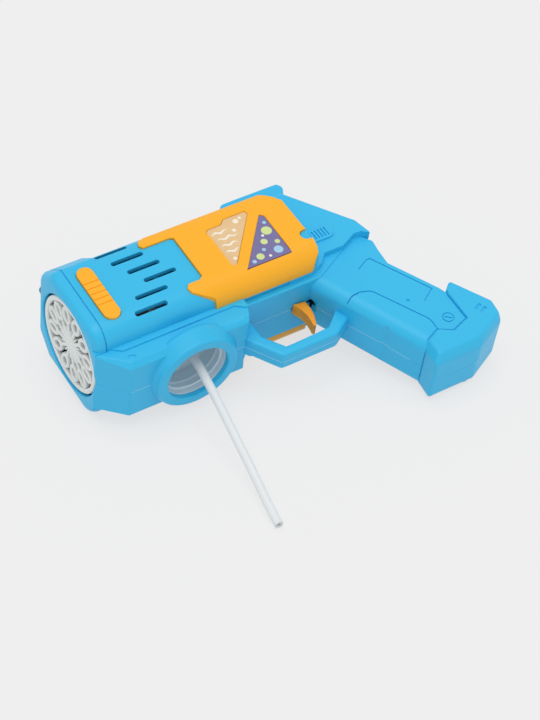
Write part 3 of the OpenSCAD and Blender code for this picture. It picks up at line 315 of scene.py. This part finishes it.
def bevelled(blank, corners, widest, seam):
    """A draft of the blank with each corner rounded by its present radius, or its seam chamfered in the
    second material slot."""
    rough = bpy.data.meshes.new("draft")
    blank.to_mesh(rough)
    for _ in range(2):
        rough.materials.append(None)
    weights = rough.attributes.new("bevel_weight_edge", "FLOAT", "EDGE")
    for index, (_, _, fits) in corners.items():
        weights.data[index].value = fits[0] / widest if fits else 0.0
    draft = placed("draft", rough)
    bevel = draft.modifiers.new("round_off", "BEVEL")
    bevel.limit_method = "WEIGHT"
    bevel.width = widest
    bevel.segments = 1 if seam else arc_steps
    bevel.material = 1 if seam else -1
    bevel.use_clamp_overlap = False
    bevel.miter_outer = "MITER_ARC"
    rounded = bmesh.new()
    rounded.from_mesh(evaluated(draft).data)
    rounded.edges.layers.float.remove(rounded.edges.layers.float["bevel_weight_edge"])
    bpy.data.objects.remove(draft)
    bpy.data.meshes.remove(rough)
    bmesh.ops.remove_doubles(rounded, verts=rounded.verts, dist=weld)
    bmesh.ops.triangulate(rounded, faces=rounded.faces)
    rounded.normal_update()
    return rounded


def faults_in(rounded, skin, widest):
    """The spots where a draft stands off the blank's skin or is turned over."""
    least_area, off_skin, same_way = 1e-9, 0.62, 0.2
    spots = []
    for face in rounded.faces:
        if face.calc_area() > least_area:
            spot = face.calc_center_median()
            _, normal, _, gap = skin.find_nearest(spot)
            if gap > widest * off_skin or normal.dot(face.normal) < same_way:
                spots += [spot] + [vert.co.copy() for vert in face.verts]
    return spots


def round_off(blank, sizes, has_seam, seam=False):
    """Rounds a blank's outside corners, or chamfers its seam, and frees it. A corner starts with the first of
    the sizes that it has room for, and takes the next one wherever the draft shows a fault."""
    widest = sizes[0]
    end_piece = 3 * widest
    shortest_split, fault_reach = 2.4 * end_piece, 2.2
    clear, look_out, most_drafts = 2e-4, 0.3, 12
    skin = BVHTree.FromBMesh(blank)
    blank.normal_update()
    long_edges = [
        edge for edge in blank.edges
        if sharp(edge) and not (has_seam and on_seam(edge)) and edge.calc_length() > shortest_split
    ]
    for edge in [edge for edge in long_edges if roomy(skin, edge, widest)]:
        start, end = edge.verts
        _, stop = bmesh.utils.edge_split(edge, start, end_piece / edge.calc_length())
        rest = next(part for part in stop.link_edges if end in part.verts)
        bmesh.utils.edge_split(rest, end, end_piece / rest.calc_length())
    blank.normal_update()
    blank.edges.index_update()
    corners = {}
    for edge in blank.edges:
        if not sharp(edge) or (has_seam and on_seam(edge)) != seam:
            continue
        middle = (edge.verts[0].co + edge.verts[1].co) / 2
        sides = [face.normal for face in edge.link_faces]
        ways_out = [sum(sides, Vector()).normalized(), *sides]
        if has_seam and all(hull.ray_cast(middle + out * clear, out, look_out)[0] for out in ways_out):
            continue
        fits = [radius for radius in sizes if roomy(skin, edge, radius)]
        if fits:
            corners[edge.index] = (edge.verts[0].co.copy(), edge.verts[1].co.copy(), fits)
    rounded, fault_count = None, 0
    for _ in range(most_drafts):
        if rounded is not None:
            rounded.free()
        rounded = bevelled(blank, corners, widest, seam)
        faults = faults_in(rounded, skin, widest)
        if len(faults) == fault_count:
            break
        fault_count = len(faults)
        for start, end, fits in corners.values():
            for spot in faults:
                along = end - start
                share = max(0, min(1, (spot - start).dot(along) / along.length_squared))
                if fits and (start + share * along - spot).length < fault_reach * fits[0] + clear:
                    fits.pop(0)
    blank.free()
    return rounded


def soften(node, radii, seam_width=0.0, lines=()):
    """A copy of a CAD node, with lines cut in it and its outside corners rounded by the radii.
    A half of the shell has its seam chamfered after that, by the seam's width."""
    flat_angle, least_edge = math.radians(0.5), 2e-5
    mould = bmesh.new()
    mould.from_mesh(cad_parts[node].data)
    bmesh.ops.remove_doubles(mould, verts=mould.verts, dist=weld)
    for way, near, far in lines:
        mould = engraved(mould, way, near, far)
    bmesh.ops.dissolve_limit(mould, angle_limit=flat_angle, verts=mould.verts, edges=mould.edges, delimit=set())
    bmesh.ops.dissolve_degenerate(mould, dist=least_edge, edges=mould.edges)
    has_seam = seam_width > 0
    rounded = round_off(mould, radii, has_seam)
    if has_seam:
        rounded = round_off(rounded, (seam_width,), has_seam, seam=True)
    for face in rounded.faces:
        face.smooth = True
    for edge in rounded.edges:
        edge.smooth = len(edge.link_faces) != 2 or edge.calc_face_angle(0) < shading_angle
    draft = placed(node + "_draft", meshed(node + "_draft", rounded))
    even = draft.modifiers.new("even_shading", "WEIGHTED_NORMAL")
    even.mode = "FACE_AREA_WITH_ANGLE"
    even.keep_sharp = True
    finished = bpy.data.meshes.new_from_object(evaluated(draft))
    finished.name = node + "_moulding"
    bpy.data.objects.remove(draft)
    return placed(node + "_moulding", finished)


def moulded(name, colour, deep, rough, grain, ior):
    """Injection-moulded plastic: a slow drift of tint, and the fine grain of a spark-eroded mould.
    The real grain is about 0.05 mm; it is drawn several times as coarse, so that it shows."""
    drift_size = 0.040
    material = bpy.data.materials.new(name)
    tree = blank_tree(material)
    place = add(tree, "ShaderNodeTexCoord").outputs["Object"]
    drift = add(tree, "ShaderNodeTexNoise", {"Vector": place, "Scale": 1 / drift_size, "Detail": 2})
    pits = add(tree, "ShaderNodeTexNoise", {
        "Vector": place, "Scale": 1 / grain, "Detail": 3, "Roughness": 0.6,
    })
    relief = add(tree, "ShaderNodeBump", {"Height": pits.outputs[0], "Strength": 0.12, "Distance": 0.00006})
    body = add(tree, "ShaderNodeBsdfPrincipled", {
        "Base Color": mixed(tree, drift.outputs[0], colour, deep),
        "Roughness": ranged(tree, pits.outputs[0], rough - 0.05, rough + 0.06, 0.3, 0.7),
        "IOR": ior, "Specular IOR Level": 0.35, "Normal": relief.outputs[0],
    })
    add(tree, "ShaderNodeOutputMaterial", {"Surface": body.outputs[0]})
    return material


# A bright sky blue with a satin grain, so the large faces stay even and the rounded edges shine softly.
blue_abs = moulded("moulded_blue_abs", "#34bdec", "#2fb9e9", rough=0.40, grain=0.0004, ior=1.53)
# The chamfer along the seam is a paler blue: painted highlight, for the line of light that the seam catches.
seam_highlight_blue = moulded("seam_painted_highlight_blue", "#9adcf8", "#8fd6f5", rough=0.45, grain=0.0004, ior=1.53)
finger_line = [
    (112.8, -42.0, 10.6), (114.1, -41.5, 11.8), (115.5, -40.9, 12.8), (120.0, -40.6, 13.4),
    (123.8, -41.9, 13.5), (125.1, -43.0, 13.5), (138.1, -66.3, 13.5), (138.5, -68.0, 13.5),
    (138.3, -73.2, 13.5),
]
boot_line = [
    (154.2, -56.6, 13.4), (153.5, -59.1, 13.4), (153.2, -74.2, 13.4), (144.1, -77.4, 13.4),
    (138.0, -73.6, 13.4), (130.6, -77.1, 13.4), (127.2, -79.8, 12.6),
]
boot_groove = [(127.86, -79.4, -17), (129.49, -78.65, -17)]
centred, beside = (-0.35, 0.35), (-0.1, 0.7)
left_seam, right_seam = 0.0001, 0.0003
shell_radii = (0.0014, 0.0007, 0.00035)
for node, seam_width, lines in (
    ("left_shell", left_seam, [(finger_line, *centred), (boot_line, *beside), (boot_groove, *centred)]),
    ("right_shell", right_seam, [(boot_groove, *centred)]),
):
    half = soften(node, shell_radii, seam_width, lines)
    half.data.materials.append(blue_abs)
    half.data.materials.append(seam_highlight_blue)
    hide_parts(node)
    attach(half, "housing")

# Side covers and bars. Orange ABS trim clipped into pockets in each half: a cover over the rear of the
# receiver, with two window openings, and a ribbed bar beside the muzzle. They stand about 1 mm proud.
# The orange is a little glossier than the blue, which gives its edges a brighter line.
orange_abs = moulded("moulded_orange_abs", "#ffb51f", "#fdb01c", rough=0.38, grain=0.0004, ior=1.53)
cover_radii, bar_radii = (0.0005, 0.00025), (0.00025,)
for node, radii in (
    ("left_cover", cover_radii), ("right_cover", cover_radii), ("left_bar", bar_radii), ("right_bar", bar_radii),
):
    trim = soften(node, radii)
    trim.data.materials.append(orange_abs)
    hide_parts(node)
    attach(trim, "housing")


# Windows. Clear glossy styrene panes in the covers over printed card, with a light board behind them.
# The front pane's print is pale orange with white waves, the rear one's purple with lime and pale blue bubbles.
def printed(name, ground, shade, waves, bubbles):
    """A printed card under a clear gloss, which mirrors the room a little and keeps the print's colours deep.
    Waves are (x, y, half length, colour) and bubbles (x, y, radius, colour), in mm on the gun's side."""
    wave_rate, wave_rise, wave_thickness, ink_edge, ring_edge = 1.3, 0.45, 0.62, 0.12, 0.14
    material = bpy.data.materials.new(name)
    tree = blank_tree(material)
    place = add(tree, "ShaderNodeTexCoord").outputs["Object"]
    flat = add(tree, "ShaderNodeMapping", {
        "Vector": place, "Scale": (1000, 1000, 1000), "Rotation": (-tilt, 0, 0), "Location": to_gun.translation,
    })
    split = add(tree, "ShaderNodeSeparateXYZ", {0: flat.outputs[0]})
    back, up = split.outputs[0], split.outputs[1]
    level = add(tree, "ShaderNodeCombineXYZ", {0: back, 1: up}).outputs[0]
    ink = add(tree, "ShaderNodeTexNoise", {"Vector": level, "Scale": 0.12, "Detail": 1})
    colour = mixed(tree, ink.outputs[0], ground, shade)
    for x, y, half_length, tone in waves:
        swing = calc(tree, "SINE", calc(tree, "MULTIPLY", back, wave_rate))
        lifted = calc(tree, "MULTIPLY_ADD", swing, -wave_rise, up)
        away = calc(tree, "ABSOLUTE", calc(tree, "SUBTRACT", lifted, y))
        along = ranged(tree, calc(tree, "SUBTRACT", back, x), -1, 1, -half_length, half_length)
        belly = calc(tree, "MULTIPLY", along, along)
        reach = calc(tree, "MULTIPLY_ADD", belly, -wave_thickness, wave_thickness)
        inked = ranged(tree, calc(tree, "SUBTRACT", reach, away), 0, 1, 0.0, ink_edge)
        colour = mixed(tree, inked, colour, tone)
    for x, y, radius, tone in bubbles:
        away = add(tree, "ShaderNodeVectorMath", {0: level, 1: (x, y, 0)}, operation="DISTANCE")
        inked = ranged(tree, away.outputs["Value"], 1, 0, radius, radius + ring_edge)
        colour = mixed(tree, inked, colour, tone)
    ripple = add(tree, "ShaderNodeTexNoise", {"Vector": level, "Scale": 0.35, "Detail": 1})
    slight = add(tree, "ShaderNodeBump", {"Height": ripple.outputs[0], "Strength": 0.05, "Distance": 0.0002})
    pane = add(tree, "ShaderNodeBsdfPrincipled", {
        "Base Color": colour, "Roughness": 0.5, "IOR": 1.49, "Coat Weight": 1.0, "Coat Roughness": 0.06,
        "Coat IOR": 1.49, "Coat Normal": slight.outputs[0],
    })
    add(tree, "ShaderNodeOutputMaterial", {"Surface": pane.outputs[0]})
    return material


white, lime, sky_blue = "#f7ecdc", "#cfe08f", "#9fcbe8"
front_print = printed(
    "printed_orange_pane", "#e9c795", "#dfb679",
    [(75.5, 6.2, 4.4, white), (77.5, 2.4, 5.4, white), (76.4, -1.4, 4.4, white), (75.6, -5.2, 3.4, white)],
    [(85.4, 8.9, 1.2, white), (87.9, 9.9, 0.7, white), (82.2, 4.6, 0.8, white), (74.2, -9.6, 0.8, white)],
)
rear_print = printed(
    "printed_purple_pane", "#6f67a0", "#665d97", [],
    [
        (94.6, -1.8, 2.3, lime), (90.3, -6.9, 1.5, lime), (95.6, -9.2, 1.1, lime), (84.4, -13.6, 1.7, lime),
        (93.6, -13.4, 2.0, sky_blue), (87.8, -10.8, 0.8, sky_blue), (80.6, -15.0, 0.9, sky_blue),
        (96.2, 2.7, 0.8, sky_blue), (88.6, -15.0, 0.6, white), (91.6, -3.6, 0.6, white),
    ],
)
for node, print_of in (
    ("left_front_window", front_print), ("right_front_window", front_print),
    ("left_rear_window", rear_print), ("right_rear_window", rear_print),
):
    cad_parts[node].data.materials.clear()
    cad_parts[node].data.materials.append(print_of)

# Front sight. A small domed bead on the nose, pressed into the seam between the halves.
# Its dark teal is painted shade, the dark tone it shows in the shadow beside the nose; it is smoother than the
# shell, so it shows a small glint.
sight_shade_teal = moulded("sight_teal_painted_shade", "#2f6f90", "#2a6686", rough=0.36, grain=0.0004, ior=1.53)
bead = soften("front_sight", radii=(0.0004, 0.0002))
bead.data.materials.append(sight_shade_teal)
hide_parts("front_sight")
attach(bead, "housing")

# Wand. A flower of twelve thick oval film loops on stems round a hub, inside a rim, in pale grey polypropylene.
# It turns in the muzzle on a steel shaft, with a gear behind it, and dips its lower loops in the tray.
rim_radius, rim_width, rim_round = 22.4, 2.5, 0.7
loops, loop_bead, loop_round, loop_inset = 12, 1.75, 0.8, 7.1
loop_half_length, loop_half_width = 3.75, 2.5
wand_depth, wand_set_back = 3.0, 2.0
spoke_from, hub_radius, hub_height = 2.4, 3.8, 1.6
wand_sizes = {"Rim radius": rim_radius, "Depth": wand_depth, "Bead": loop_bead}
wand_tree = bpy.data.node_groups.new("wand_flower", "GeometryNodeTree")
for direction in ("INPUT", "OUTPUT"):
    wand_tree.interface.new_socket("Geometry", in_out=direction, socket_type="NodeSocketGeometry")
size_sockets = {}
for label, value in wand_sizes.items():
    size_sockets[label] = wand_tree.interface.new_socket(label, in_out="INPUT", socket_type="NodeSocketFloat")
    size_sockets[label].default_value = value
count_socket = wand_tree.interface.new_socket("Loops", in_out="INPUT", socket_type="NodeSocketInt")
count_socket.default_value = loops
given = add(wand_tree, "NodeGroupInput").outputs


def band(width, height, round_by):
    """The section of a wand bar, with rounded corners."""
    block = add(wand_tree, "GeometryNodeCurvePrimitiveQuadrilateral", {"Width": width, "Height": height})
    return add(wand_tree, "GeometryNodeFilletCurve", {
        "Curve": block.outputs[0], "Count": 3, "Radius": round_by, "Limit Radius": True,
    }, mode="POLY").outputs[0]


def spoke(end, width, height, round_by):
    """A straight bar from inside the hub outwards."""
    line = add(wand_tree, "GeometryNodeCurvePrimitiveLine", {"Start": (spoke_from, 0, 0), "End": (end, 0, 0)})
    return add(wand_tree, "GeometryNodeCurveToMesh", {
        "Curve": line.outputs[0], "Profile Curve": band(width, height, round_by), "Fill Caps": True,
    })


rim_line = add(wand_tree, "GeometryNodeCurvePrimitiveCircle", {
    "Resolution": 96, "Radius": calc(wand_tree, "SUBTRACT", given["Rim radius"], rim_width / 2),
})
rim = add(wand_tree, "GeometryNodeCurveToMesh", {
    "Curve": rim_line.outputs[0], "Profile Curve": band(rim_width, given["Depth"], rim_round),
})
oval_line = add(wand_tree, "GeometryNodeCurvePrimitiveCircle", {"Resolution": 28, "Radius": 1.0})
oval = add(wand_tree, "GeometryNodeTransform", {
    "Geometry": oval_line.outputs[0], "Scale": (loop_half_length, loop_half_width, 1.0),
})
loop_bar = add(wand_tree, "GeometryNodeCurveToMesh", {
    "Curve": oval.outputs[0], "Profile Curve": band(given["Bead"], given["Depth"], loop_round),
})
loop_at = calc(wand_tree, "SUBTRACT", given["Rim radius"], loop_inset)
loop_place = add(wand_tree, "ShaderNodeCombineXYZ", {0: loop_at})
loop_out = add(wand_tree, "GeometryNodeTransform", {
    "Geometry": loop_bar.outputs[0], "Translation": loop_place.outputs[0],
})
stem = spoke(end=11.2, width=1.7, height=2.4, round_by=0.5)
petal = add(wand_tree, "GeometryNodeJoinGeometry")
for part in (loop_out, stem):
    wand_tree.links.new(part.outputs[0], petal.inputs[0])
rib = spoke(end=8.6, width=0.9, height=2.0, round_by=0.3)
spread = add(wand_tree, "GeometryNodePoints", {"Count": given["Loops"]})
number = add(wand_tree, "GeometryNodeInputIndex")
pitch = calc(wand_tree, "DIVIDE", 2 * math.pi, given["Loops"])
whole = add(wand_tree, "GeometryNodeJoinGeometry")
wand_tree.links.new(rim.outputs[0], whole.inputs[0])
for shape, start in ((petal, 0.5), (rib, 0.0)):
    turn = calc(wand_tree, "MULTIPLY", calc(wand_tree, "ADD", number.outputs[0], start), pitch)
    facing = add(wand_tree, "ShaderNodeCombineXYZ", {2: turn})
    around = add(wand_tree, "GeometryNodeInstanceOnPoints", {
        "Points": spread.outputs[0], "Instance": shape.outputs[0], "Rotation": facing.outputs[0],
    })
    wand_tree.links.new(around.outputs[0], whole.inputs[0])
hub = add(wand_tree, "GeometryNodeMeshUVSphere", {"Segments": 32, "Rings": 16, "Radius": 1.0})
hub_low = add(wand_tree, "GeometryNodeTransform", {
    "Geometry": hub.outputs[0], "Scale": (hub_radius, hub_radius, hub_height),
})
wand_tree.links.new(hub_low.outputs[0], whole.inputs[0])
solid = add(wand_tree, "GeometryNodeRealizeInstances", {"Geometry": whole.outputs[0]})
even = add(wand_tree, "GeometryNodeSetShadeSmooth", {"Geometry": solid.outputs[0], "Shade Smooth": True})
# Pale grey polypropylene; its colour is painted light, lifted so the loops stay pale down to their shaded roots.
pale_pp_lifted = moulded("grey_polypropylene_painted_light", "#e8eceb", "#e0e5e4", rough=0.42, grain=0.0005, ior=1.49)
coat = add(wand_tree, "GeometryNodeSetMaterial", {"Geometry": even.outputs[0], "Material": pale_pp_lifted})
add(wand_tree, "NodeGroupOutput", {0: coat.outputs[0]})

flower = placed("wand_flower_draft", bpy.data.meshes.new("wand_flower_draft"))
grow = flower.modifiers.new("wand_flower", "NODES")
grow.node_group = wand_tree
for label, value in wand_sizes.items():
    grow[size_sockets[label].identifier] = value
grow[count_socket.identifier] = loops
flower_mesh = bpy.data.meshes.new_from_object(evaluated(flower))
bpy.data.objects.remove(flower)
to_muzzle = Matrix(((0, 0, 1, wand_set_back), (0, 1, 0, 0), (-1, 0, 0, 0), (0, 0, 0, 1)))
flower_mesh.transform(lying @ to_muzzle)
wand_disc = placed("wand_flower", flower_mesh)
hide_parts("wand_disc")
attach(wand_disc, "wand")

# Bottle socket. A threaded cup of clear polypropylene glued in the collar, which takes a bottle's neck.
# It is frosted inside; the blue of the collar showing through it is painted into its colour as a cool blue-grey,
# beside a slight transmission.
frosted = bpy.data.materials.new("frosted_polypropylene")
tree = blank_tree(frosted)
place = add(tree, "ShaderNodeTexCoord").outputs["Object"]
cloud_size = 0.006
cloud = add(tree, "ShaderNodeTexNoise", {"Vector": place, "Scale": 1 / cloud_size, "Detail": 2})
body = add(tree, "ShaderNodeBsdfPrincipled", {
    "Base Color": mixed(tree, cloud.outputs[0], "#c9e2f0", "#dcedf6"),
    "Roughness": ranged(tree, cloud.outputs[0], 0.24, 0.36),
    "IOR": 1.49, "Transmission Weight": 0.12,
})
add(tree, "ShaderNodeOutputMaterial", {"Surface": body.outputs[0]})
cup = soften("bottle_socket", radii=(0.0003,))
cup.data.materials.append(frosted)
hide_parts("bottle_socket")
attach(cup, "housing")

# Trigger. A curved lever of orange ABS on a steel pin. Its deeper amber than the covers is painted shade,
# the cover orange as it shows in the guard's shadow. A coil spring behind it pushes it forward, and its stem
# presses the switch.
lever_shade_orange = moulded("moulded_orange_abs_painted_shade", "#ffa422", "#fb9e1f", rough=0.38, grain=0.0004, ior=1.53)
lever = soften("trigger", radii=(0.0014, 0.0008, 0.0004))
lever.data.materials.append(lever_shade_orange)
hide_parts("trigger")
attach(lever, "trigger")

# Battery door. A flat blue ABS lid over the cells, in the right side of the grip.
# It drops into a recess, flush with the grip, and one small steel screw holds it.
lid = soften("battery_door", radii=(0.0004, 0.0002))
lid.data.materials.append(blue_abs)
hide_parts("battery_door")
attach(lid, "battery_door")

# Works inside. ABS duct, fan housing and frame in black, which is painted shade; white acetal tray, pump and
# fan; ivory gears; bright steel shafts, pins, springs, screws and motor can; nickelled contacts, dark switch and
# board, sleeved cells.
# The black behind the slots stands in for the shade inside, so the slots stay dark; the pale parts show only
# when the gun is opened.
white_acetal = moulded("moulded_white_acetal", "#dfe2e2", "#d8dbda", rough=0.42, grain=0.0005, ior=1.48)
gear_acetal = moulded("cut_ivory_acetal", "#eeeee6", "#e5e5dc", rough=0.36, grain=0.0005, ior=1.48)
slot_shade_black = moulded("black_abs_painted_slot_shade", "#232527", "#1e2022", rough=0.45, grain=0.0005, ior=1.53)
dark_plastic = moulded("moulded_dark_phenolic", "#2d2f33", "#26282b", rough=0.45, grain=0.0005, ior=1.56)
sleeve = moulded("printed_cell_sleeve", "#3f8f5f", "#39855a", rough=0.3, grain=0.0006, ior=1.5)


def drawn_metal(name, colour, worn, rough):
    """Drawn or turned metal, with fine lines about 0.2 mm apart that make its gloss uneven."""
    material = bpy.data.materials.new(name)
    tree = blank_tree(material)
    place = add(tree, "ShaderNodeTexCoord").outputs["Object"]
    stretch = add(tree, "ShaderNodeMapping", {"Vector": place, "Scale": (5000, 400, 5000)})
    lines = add(tree, "ShaderNodeTexNoise", {"Vector": stretch.outputs[0], "Scale": 1.0, "Detail": 2})
    body = add(tree, "ShaderNodeBsdfPrincipled", {
        "Base Color": mixed(tree, lines.outputs[0], colour, worn),
        "Roughness": ranged(tree, lines.outputs[0], rough - 0.08, rough + 0.1),
        "Metallic": 1.0,
    })
    add(tree, "ShaderNodeOutputMaterial", {"Surface": body.outputs[0]})
    return material


steel = drawn_metal("bright_steel", "#b9bcc0", "#a6a9ad", rough=0.28)
brass = drawn_metal("nickelled_brass", "#cdb582", "#bfa673", rough=0.3)
for finish, nodes in (
    (white_acetal, ("drip_tray", "pump_housing", "fan")),
    (slot_shade_black, ("air_duct", "fan_housing", "gear_frame")),
    (gear_acetal, ("wand_gear", "idler_gear", "lay_pinion", "lay_gear", "motor_pinion", "pump_rotor")),
    (steel, (
        "wand_shaft", "motor", "motor_shaft", "idler_axle", "layshaft", "trigger_pin", "trigger_spring",
        "door_screw", "shell_screws",
    )),
    (brass, ("contact_plate", "contact_springs")),
    (dark_plastic, ("switch", "switch_button", "light_board")),
    (sleeve, ("cell_a", "cell_b", "cell_c", "cell_d")),
    (milky, ("pump_hose",)),
):
    for node in nodes:
        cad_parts[node].data.materials.clear()
        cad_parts[node].data.materials.append(finish)
